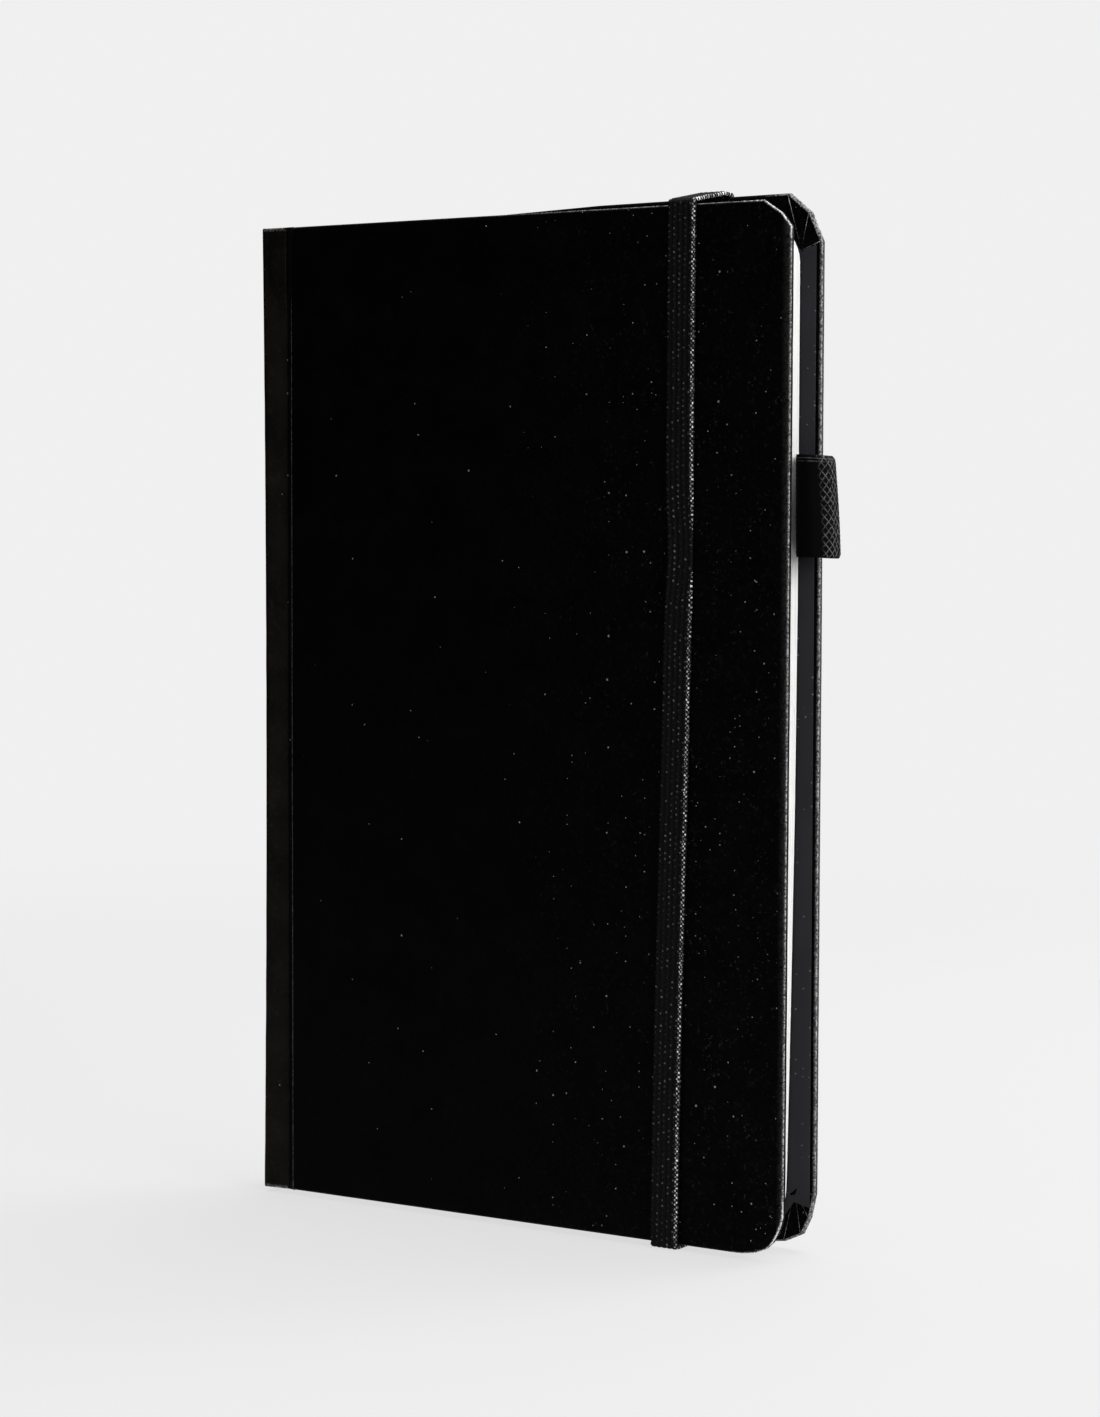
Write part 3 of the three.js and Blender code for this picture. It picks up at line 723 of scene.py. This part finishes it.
def pleats(name, points, mirror, body, height, head):
    """Leatherette gathered in flat folds where it is turned in round a fore-edge corner; the crease ridges
    carry painted highlights.
    """
    width = max(x for x, z in points)
    rim = inset(points, 0.45)
    corner = [p for p in rim if p[0] > width - 12 and (p[1] > height / 2) == head]
    flip = 1 if head else -1
    first, last = (corner[-1], corner[0]) if head else (corner[0], corner[-1])
    ends = [(first[0] - 7, first[1] - 0.1 * flip), (last[0], last[1] - 6 * flip)]
    path = [ends[0]] + (corner[::-1] if head else corner) + [ends[1]]
    centre = (width - 4.5, (height - 11.5) if head else 11.5)
    bm = bmesh.new()
    low = TURN_IN_FACE - 0.06
    wear_and_highlight = bm.verts.layers.float.new("wear_and_highlight")

    def vert(p, rise, value=0.0):
        v = bm.verts.new((p[0], low + rise, p[1]))
        v[wear_and_highlight] = value
        return v

    def between(a, b, t):
        return (a[0] + (b[0] - a[0]) * t, a[1] + (b[1] - a[1]) * t)

    hub = vert(centre, 0.26)
    # The crease ridges are painted light, brighter at the head: painted highlight.
    crease_highlight = 0.75 if head else 0.25
    ring = [vert(path[0], 0.0)]
    for before, p, after in zip(path, path[1:], path[2:]):
        left, right = (between(p, q, 0.16 / max(0.5, math.dist(p, q))) for q in (before, after))
        ring += [vert(left, 0.05), vert(p, 0.18, crease_highlight), vert(right, 0.05)]
        if after != path[-1]:
            ring.append(vert(between(p, after, 0.58), 0.0))
    ring.append(vert(path[-1], 0.0))
    for a, b in zip(ring, ring[1:]):
        bm.faces.new((hub, a, b))
    bmesh.ops.recalc_face_normals(bm, faces=bm.faces)
    solid = bmesh.ops.extrude_face_region(bm, geom=bm.faces[:])
    for v in (g for g in solid["geom"] if isinstance(g, bmesh.types.BMVert)):
        v.co.y -= 0.12
    bmesh.ops.recalc_face_normals(bm, faces=bm.faces)
    place(bm, mirror)
    new_object(name, to_mesh(bm, name), cover_material, body, smooth=False)


for name, points, mirror, body, height in (
    ("front", front_outline, False, "front_cover", FRONT_HEIGHT),
    ("back", back_outline, True, "back_cover", BACK_HEIGHT),
):
    pleats(f"{name}_head_pleats", points, mirror, body, height, True)
    pleats(f"{name}_tail_pleats", points, mirror, body, height, False)


def lining_outline(width, height):
    """The paper stops short of the rims, and its corners are cut so that the folded leatherette shows."""
    left, right, top = COVER_START + 1.5, width - 1.1, height - 2.6
    return [
        (left, 2.2), (right - 8.5, 2.2), (right - 3.6, 9.0), (right, 8.2),
        (right, top - 8.0), (right - 3.4, top - 8.9), (right - 9.3, top - 0.6), (left, top - 0.6),
    ]


for side, mirror, height, width in (
    ("front", False, FRONT_HEIGHT, COVER_WIDTH), ("back", True, BACK_HEIGHT, BACK_WIDTH),
):
    paper_shape = lining_outline(width, height)
    name = f"{side}_pastedown"
    pastedown(f"{name}_look", paper_shape, mirror, f"{side}_cover", name, height, width)


# ---------------------------------------------------------------- strips swept along a path
def rounded_path(corners, step):
    """Points along a polyline whose corners (y, z, radius) are rounded, about step apart."""
    points = []
    for i, (y, z, r) in enumerate(corners):
        p = Vector((y, z))
        if i in (0, len(corners) - 1) or r == 0:
            points.append(p)
            continue
        before = (Vector(corners[i - 1][:2]) - p).normalized()
        after = (Vector(corners[i + 1][:2]) - p).normalized()
        half = math.acos(max(-1, min(1, before.dot(after)))) / 2
        reach = r / math.tan(half)
        a, b = p + before * reach, p + after * reach
        centre = p + (before + after).normalized() * (r / math.sin(half))
        turn = math.pi - 2 * half
        start = math.atan2(a.y - centre.y, a.x - centre.x)
        end = math.atan2(b.y - centre.y, b.x - centre.x)
        sweep = (end - start + math.pi) % (2 * math.pi) - math.pi
        n = max(3, math.ceil(turn * r / step))
        bend = [start + sweep * k / n for k in range(n + 1)]
        points += [centre + Vector((math.cos(angle), math.sin(angle))) * r for angle in bend]
    out = [points[0]]
    for p in points[1:]:
        gap = (p - out[-1]).length
        n = max(1, round(gap / step))
        base = out[-1].copy()
        out += [base.lerp(p, k / n) for k in range(1, n + 1)]
    return out


def sweep_strip(frames, section):
    """Points and faces of a closed tube. frames are (point, width axis, normal, millimetres along), and
    section gives (across, height, uv_x, wear and painted highlight) rows."""
    verts, faces, uvs, wear_and_highlight_values = [], [], [], []
    for i, (point, side, normal, along) in enumerate(frames):
        for across, height, ux, wear_and_highlight in section(i, along):
            verts.append(point + side * across + normal * height)
            uvs.append((ux, along))
            wear_and_highlight_values.append(wear_and_highlight)
    m = len(section(0, 0))
    for i in range(len(frames) - 1):
        for j in range(m):
            k = (j + 1) % m
            faces.append((i * m + j, i * m + k, (i + 1) * m + k, (i + 1) * m + j))
    faces.append(tuple(reversed(range(m))))
    faces.append(tuple(range((len(frames) - 1) * m, len(frames) * m)))
    return verts, faces, uvs, wear_and_highlight_values


def strip_object(name, frames, section, material):
    verts, faces, uvs, wear_and_highlight_values = sweep_strip(frames, section)
    mesh = closed_mesh(name, verts, faces)
    store_weave(mesh, uvs, wear_and_highlight_values)
    return new_object(name, mesh, material)


# ---------------------------------------------------------------- elastic band
BAND_HALF = 0.49  # half the webbing's thickness
OUT = BAND_HALF + 0.08  # its middle stands this far off the covers
BAND_STEP = 0.5
band_corners = [
    (THICK - 2.0, BACK_HEIGHT - SLOT - 0.5, 0),
    (THICK + OUT, BACK_HEIGHT - SLOT - 0.5, 0.55),
    (THICK + OUT, BACK_HEIGHT + OUT, 1.4),
    (11.6, BACK_HEIGHT + OUT, 0.9),
    (-OUT, FRONT_HEIGHT + OUT + 0.15, 0.7),
    (-OUT, -OUT, 0.8),
    (THICK + OUT, -OUT, 0.8),
    (THICK + OUT, SLOT + 0.5, 0.55),
    (THICK - 2.0, SLOT + 0.5, 0),
]
band_path = rounded_path(band_corners, BAND_STEP)


def band_frames():
    frames, along = [], 0.0
    for i, p in enumerate(band_path):
        before, after = band_path[max(0, i - 1)], band_path[min(len(band_path) - 1, i + 1)]
        tangent = (after - before).normalized()
        if i:
            along += (p - band_path[i - 1]).length
        x = band_x(min(FRONT_HEIGHT, max(0, p.y)))
        if p.x > 1:
            x = band_x(FRONT_HEIGHT if p.y > 100 else 0)
        normal = Vector((0, tangent.y, -tangent.x))
        frames.append((Vector((x, p.x, p.y)), Vector((1, 0, 0)), normal, along))
    return frames


CURL_HEIGHT, CURL_REACH = 141, 9.5


def curl(w):
    """Where the band has rolled a little at its left edge."""
    return math.exp(-(((w - CURL_HEIGHT) / CURL_REACH) ** 2))


def band_section(i, along):
    p = band_path[i]
    on_front = p.x < 0
    c = curl(p.y) if on_front else 0
    left = 3.05 - 0.85 * c
    right = 3.12 + (0.12 if on_front else 0)
    rows = []
    n = 24
    zigzag = 1 if round(along / BAND_STEP) % 2 else -1  # the selvedge's loops
    for side in (1, -1):
        for j in range(n + 1):
            t = j / n if side > 0 else 1 - j / n
            across = -left + (left + right) * t
            edge = min(t, 1 - t) * (left + right)
            rib = 0.07 * math.cos(2 * math.pi * (left + across - 0.35) / BAND_RIB)
            body = BAND_HALF * (0.55 + 0.45 * min(1, edge / 0.5) ** 0.5) - 0.07
            height = body + rib * min(1, edge / 0.6)
            if edge < 0.5:
                height += 0.06 * zigzag
                across += (0.09 if t > 0.5 else -0.09) * zigzag
            if side < 0:
                height = -body * 0.9
            height += c * 0.35 * max(0, 1 - t * 3)
            wear_and_highlight = 1.0 if t > 0.93 else (0.35 if t < 0.06 else 0.0)
            rows.append((across, height, (left + right) * t, wear_and_highlight if side > 0 or edge < 0.2 else 0.0))
    return rows


elastic = strip_object("elastic_closure", band_frames(), band_section, band_material)
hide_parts("elastic_band", "elastic_head_end", "elastic_tail_end")
# its ends stay in their slots
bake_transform(elastic)


# ---------------------------------------------------------------- pen loop
loop_corners = [
    (118.0, 12.75, 0),
    (127.2, 12.75, 1.0),
    (129.2, 11.35, 1.0),
    (132.6, 11.3, 2.0),
    (135.4, 10.2, 2.4),
    (135.4, 5.4, 2.6),
    (132.4, 4.35, 2.0),
    (129.05, 5.0, 1.8),
    (129.0, 9.0, 1.6),
    (127.4, 11.2, 1.0),
    (126.4, 12.05, 0),
]


def loop_object():
    path = rounded_path(loop_corners, 0.3)
    rows = span(0, LOOP_HEIGHT, 0.35)
    half = 0.38
    length = 0.0
    sheet = []
    for i, p in enumerate(path):
        if i:
            length += (p - path[i - 1]).length
        a, b = path[max(0, i - 1)], path[min(len(path) - 1, i + 1)]
        t = (b - a).normalized()
        sheet.append((p, Vector((t.y, -t.x)), length))
    verts, uvs, wear_and_highlight_values = [], [], []
    for p, n, s in sheet:
        for side in (1, -1):
            for h in rows:
                e = min(h, LOOP_HEIGHT - h)
                thick = half * (0.6 + 0.4 * min(1, e / 0.6))
                phase = math.pi * (round(s / 0.95 * 2) % 2)
                knit_bump = 0.05 * math.cos(2 * math.pi * h / 1.15 + phase)
                q = p + n * side * (thick + (knit_bump if side < 0 else 0))
                out = min(1, max(0, (p.x - 128.5) / 5.5))
                top = max(0, 1 - (LOOP_HEIGHT - h) / 1.3) ** 2
                bottom = max(0, 1 - h / 0.9) ** 2
                pulled_in = 0.5 * top + 0.25 * bottom
                x = q.x + LOOP_FLARE * out * (1 - h / LOOP_HEIGHT) - pulled_in * out
                y = q.y + 0.25 * math.sin(h / 5.0) * out
                z = LOOP_TAIL + h + 0.25 * math.sin(s / 4.0) * out
                verts.append((x, y, z))
                uvs.append((s, h))
                # The outer turn, which faces the light, gets the painted highlight of the knit.
                wear_and_highlight_values.append(min(1.0, max(0.0, (p.x - 134.0) / 0.6)))
    mesh = closed_mesh("pen_loop_look", verts, double_sheet_faces(len(sheet), len(rows)))
    store_weave(mesh, uvs, wear_and_highlight_values)
    new_object("pen_loop_look", mesh, knit_material, "back_cover", ["pen_loop"])


loop_object()


# ---------------------------------------------------------------- spine
BOW_DEPTH, BOW_MIDDLE, BOW_REACH = 0.765, 108, 106


def spine_bow(w):
    """How far the spine has pulled in towards the folds at height w, next to nothing at its ends."""
    return max(0.0, BOW_DEPTH * (1 - ((w - BOW_MIDDLE) / BOW_REACH) ** 2))


def pressed_flat(w, height):
    """How far the groove is pressed flat: over the turned-in head, and a little at the tail."""
    return min(1, max(0, (22 - (height - w)) / 8)), max(0, 1 - w / 4) * 0.6


def spine():
    thick = 0.42
    right = [
        (6.05, 0.95), (5.2, 0.78), (2.5, 0.22), (0.9, -0.12), (0.35, -0.2),
        (-0.1, -0.12), (-0.36, 0.15), (-0.42, 0.6), (-0.42, 2.5), (-0.42, 5.0),
    ]
    outer = right + [(x, THICK - y) for x, y in reversed(right)]
    # smooth the outer path, then step it inwards for the inner face
    fine = []
    for a, b in zip(outer, outer[1:]):
        n = max(1, round(math.dist(a, b) / 0.35))
        fine += [(a[0] + (b[0] - a[0]) * k / n, a[1] + (b[1] - a[1]) * k / n) for k in range(n)]
    fine.append(outer[-1])
    profile = []
    for i, p in enumerate(fine):
        a, b = fine[max(0, i - 1)], fine[min(len(fine) - 1, i + 1)]
        length = math.dist(a, b)
        nx, ny = -(b[1] - a[1]) / length, (b[0] - a[0]) / length
        profile.append((p, (-nx, -ny)))
    height = FRONT_HEIGHT
    ends = [0.12, 0.35, 0.8]
    rows = sorted(set(span(0, height, 2.5) + ends + [height - w for w in ends]))
    verts = []
    for w in rows:
        end = min(w, height - w)
        roll = 0.12 * max(0, 1 - end / 0.35) ** 2
        flat = max(pressed_flat(w, height))
        for sign in (0, 1):
            for (x, y), (nx, ny) in profile:
                side = 1 if y < THICK / 2 else -1
                deep = min(1, max(0, (x - 1) / 5))
                yy = y - side * deep * flat * 0.82  # the groove fades out over the turned-in head
                ripple = 0.05 * noise.noise(Vector((x / 3, w / 7, y / 3)))
                inward = roll + ripple if not sign else thick - roll
                xx = x + spine_bow(w) * (1 - deep)
                verts.append((xx - nx * -inward, yy - ny * -inward, w))
    mesh = closed_mesh("spine_skin_look", verts, double_sheet_faces(len(rows), len(profile)))

    def rule(co):
        x, _, z = book_point(co)
        end = min(z, height - z)
        return max(0, 1 - end / 0.5) * 0.5 if x < 6 else 0.0

    store_wear_and_highlight(mesh, rule)
    new_object("spine_skin_look", mesh, spine_sheen_material, "block", ["spine_skin"])


spine()


def spine_board():
    """The spine's stiffener, bent to the same curve as the leatherette over it."""
    outer, thickness, y0, y1 = 0.03, 0.8, 0.85, THICK - 0.85
    bm = bmesh.new()
    rings = []
    for w in span(0.5, FRONT_HEIGHT - 0.5, 2.5):
        x = outer + spine_bow(w)
        corners = [(x, y0), (x, y1), (x + thickness, y1), (x + thickness, y0)]
        rings.append([bm.verts.new((cx, cy, w)) for cx, cy in corners])
    join_rings(bm, rings)
    bmesh.ops.recalc_face_normals(bm, faces=bm.faces)
    place(bm)
    name = "spine_board_look"
    new_object(name, to_mesh(bm, name), board_material, "block", ["spine_board"], smooth=False)


spine_board()


def joint(name, mirror, node, height):
    """Leatherette in the groove, from the spine's side strip round to the cover board."""
    groove = [(5.6, 0.98), (6.1, 1.12), (6.6, 1.18), (7.0, 1.05), (7.3, 0.75), (7.45, 0.60), (7.6, 0.55)]
    flush = [(5.6, 0.22), (6.1, 0.15), (6.6, 0.05), (7.0, 0.01), (7.3, 0.0), (7.8, -0.01), (8.2, 0.03)]

    def profile(flat):
        """The cloth's outer line: deep in the groove, or level with the board where it is pressed flat."""
        corners = [
            (a[0] + (b[0] - a[0]) * flat, a[1] + (b[1] - a[1]) * flat) for a, b in zip(groove, flush)
        ]
        line = []
        for a, b in zip(corners, corners[1:]):
            line += [(a[0] + (b[0] - a[0]) * k / 3, a[1] + (b[1] - a[1]) * k / 3) for k in range(3)]
        return line + [corners[-1]]

    rows = span(0.02, height - 0.02, 2)
    verts = []
    for w in rows:
        flat = min(1, sum(pressed_flat(w, height)))
        for inner in (0, 0.24):
            for x, y in profile(flat):
                y += inner
                verts.append((x, THICK - y if mirror else y, w))
    mesh = closed_mesh(name, verts, double_sheet_faces(len(rows), len(profile(0))))
    store_rest(mesh)
    obj = new_object(name, mesh, joint_material, None, [node])
    y = THICK + HINGE_OUTSIDE if mirror else -HINGE_OUTSIDE
    tuple(at(5.9, y, 100))
    tuple(at(7.2, y, 100))
    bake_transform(obj)


joint("front_joint_look", False, "front_joint_cloth", FRONT_HEIGHT)
joint("back_joint_look", True, "back_joint_cloth", FRONT_HEIGHT)

# ---------------------------------------------------------------- pages
FORE_EDGE = [(124.4, 16), (125.05, 50), (125.65, 90), (125.95, 130)]
CORNER = 8.0


def page_outline(start, shift=0.0, steps=8):
    def arc(cx, cz, first):
        angles = [math.radians(first + 90 * i / steps) for i in range(steps + 1)]
        return [(cx + CORNER * math.cos(a), cz + CORNER * math.sin(a)) for a in angles]

    points = (
        [(start, BLOCK_TAIL)]
        + arc(FORE_EDGE[0][0] - 0.15 - CORNER, BLOCK_TAIL + CORNER, -90)
        + FORE_EDGE
        + arc(FORE_EDGE[-1][0] - CORNER, BLOCK_HEAD - CORNER, 0)
        + [(start, BLOCK_HEAD)]
    )
    return [(x + (shift if x > 60 else 0), z) for x, z in points]


rng = random.Random(7)
FLYLEAF_FACE = COVER_INSIDE + 0.04
PAGES_FRONT = FLYLEAF_FACE + 0.2 + SHEET_GAP
PAGES_BACK = THICK - PAGES_FRONT
SECTIONS, LOOSE, LEAVES = 6, 3, 7
PITCH = (PAGES_BACK - PAGES_FRONT + SHEET_GAP) / SECTIONS


def sheet_bmesh(bm, points, y0, y1):
    """One leaf: a thin closed slab added to bm."""
    low = [bm.verts.new((x, y0, z)) for x, z in points]
    high = [bm.verts.new((x, y1, z)) for x, z in points]
    n = len(points)
    for i in range(n):
        j = (i + 1) % n
        bm.faces.new((low[i], low[j], high[j], high[i]))
    bm.faces.new(low)
    bm.faces.new(list(reversed(high)))


for s in range(SECTIONS):
    y0 = PAGES_FRONT + s * PITCH
    y1 = y0 + PITCH - SHEET_GAP
    first = y0 + (LOOSE * LEAF_PITCH if s == 0 else 0)
    count = LEAVES - (LOOSE if s == 0 else 0)
    step = (y1 - first) / count
    bm = bmesh.new()
    for k in range(count):
        a = first + k * step
        depth = abs((k + 0.5) / count - 0.5) * 2
        start = BLOCK_START + 0.1 + 0.35 * depth
        shift = rng.uniform(-0.10, 0.06)
        sheet_bmesh(bm, page_outline(start, shift), a, a + step - 0.025)
    # the fold that holds the section's sheets together
    half_fold = [(0.02, 0.45), (0.18, 0.15), (0.6, 0.03), (1.0, 0.03)]
    fold = [(BLOCK_START + x, y0 + y) for x, y in half_fold]
    fold += [(BLOCK_START + x, y1 - y) for x, y in reversed(half_fold)]
    if s:
        low = [bm.verts.new((x, y, BLOCK_TAIL + 0.05)) for x, y in fold]
        high = [bm.verts.new((x, y, BLOCK_HEAD - 0.05)) for x, y in fold]
        for i in range(len(fold)):
            j = (i + 1) % len(fold)
            bm.faces.new((low[i], low[j], high[j], high[i]))
        bm.faces.new(list(reversed(low)))
        bm.faces.new(high)
    bmesh.ops.recalc_face_normals(bm, faces=bm.faces)
    place(bm)
    name = f"section_{s + 1}"
    mesh = to_mesh(bm, name)
    store_edges(mesh)
    new_object(name + "_look", mesh, paper_material, "block", [name], smooth=False)


# cuts across a leaf, close together near the groove
LEAF_CUTS = [3, 4] + [5 + 0.5 * i for i in range(11)] + [11, 12, 14, 18, 24, 34, 50, 70, 90, 110]


def turning_leaf(name, node, y0, mirror, material, also=(), shift=0.0):
    """A single leaf from its fold to the fore edge, with cuts across it that lie close together near the
    groove.
    """
    bm = bmesh.new()
    sheet_bmesh(bm, page_outline(BLOCK_START + 0.1, shift), y0, y0 + 0.19)
    cut_grid(bm, 0, LEAF_CUTS)
    cut_grid(bm, 2, span(12, 198, 15))
    bmesh.ops.recalc_face_normals(bm, faces=bm.faces)
    place(bm, mirror)
    mesh = to_mesh(bm, name)
    store_rest(mesh)
    store_edges(mesh)
    obj = new_object(name, mesh, material, None, [node, *also], smooth=False)
    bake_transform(obj)


for side, mirror in (("front", False), ("back", True)):
    turning_leaf(
        f"{side}_flyleaf_look", f"{side}_flyleaf", FLYLEAF_FACE, mirror,
        flyleaf_material, [f"{side}_endpaper_hinge"],
    )
for k in range(LOOSE):
    turning_leaf(
        f"leaf_{k + 1}_look", f"leaf_{k + 1}", PAGES_FRONT + k * LEAF_PITCH, False,
        leaf_material, shift=rng.uniform(-0.10, 0.06),
    )

# ---------------------------------------------------------------- hidden CAD pieces keep their shape
for name, material in (
    ("front_board", board_material), ("back_board", board_material), ("spine_lining", lining_material),
):
    for material_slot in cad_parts[name].material_slots:
        material_slot.material = material

# ---------------------------------------------------------------- stage and light
scene = bpy.context.scene
scene.view_settings.view_transform = "Standard"
BACKGROUND = 0.871

world = bpy.data.worlds.new("studio")
scene.world = world
world.use_nodes = True
wt = world.node_tree
back = wt.nodes["Background"]
back.inputs["Color"].default_value = (BACKGROUND, BACKGROUND, BACKGROUND, 1)
dim = wt.nodes.new("ShaderNodeBackground")
dim.inputs["Color"].default_value = (0.012, 0.012, 0.012, 1)
pick = wt.nodes.new("ShaderNodeMixShader")
path = wt.nodes.new("ShaderNodeLightPath")
wt.links.new(path.outputs["Is Camera Ray"], pick.inputs[0])
wt.links.new(dim.outputs[0], pick.inputs[1])
wt.links.new(back.outputs[0], pick.inputs[2])
wt.links.new(pick.outputs[0], wt.nodes["World Output"].inputs["Surface"])

bm = bmesh.new()
bmesh.ops.create_circle(bm, cap_ends=True, segments=96, radius=0.9)
floor_mesh = to_mesh(bm, "floor")
floor = bpy.data.objects.new("floor", floor_mesh)
scene.collection.objects.link(floor)
fm = Nodes("pale floor")
radius = fm.node("ShaderNodeVectorMath", {0: fm.coords()}, operation="LENGTH").outputs["Value"]
fade_range = {"Value": radius, "From Min": 0.22, "From Max": 0.80, "To Min": 1.0, "To Max": 0.0}
fade = fm.node("ShaderNodeMapRange", fade_range, interpolation_type="SMOOTHSTEP").outputs["Result"]
fm.set(Base_Color=(0.115, 0.115, 0.115, 1), Roughness=0.95, Specular_IOR_Level=0.0, Alpha=fade)
fm.set(Emission_Color=(1, 1, 1, 1), Emission_Strength=0.66)
floor_mesh.materials.append(fm.material)


def area(name, place_at, look, size, power):
    """A square soft light in metres and watts, turned towards look."""
    data = bpy.data.lights.new(name, "AREA")
    data.shape = "SQUARE"
    data.size = size
    data.energy = power
    obj = bpy.data.objects.new(name, data)
    obj.location = place_at
    obj.rotation_euler = (Vector(look) - Vector(place_at)).to_track_quat("-Z", "Y").to_euler()
    scene.collection.objects.link(obj)


area("top", (0.10, 0.25, 1.3), (0, 0, 0), 1.1, 28)
area("right", (1.15, -0.25, 0.45), (0, 0, 0.10), 0.7, 14)
area("front", (-0.30, -1.25, 0.30), (0, 0, 0.10), 0.35, 1.2)
area("rim", (0.55, 0.95, 0.55), (0.05, 0, 0.15), 0.5, 8)
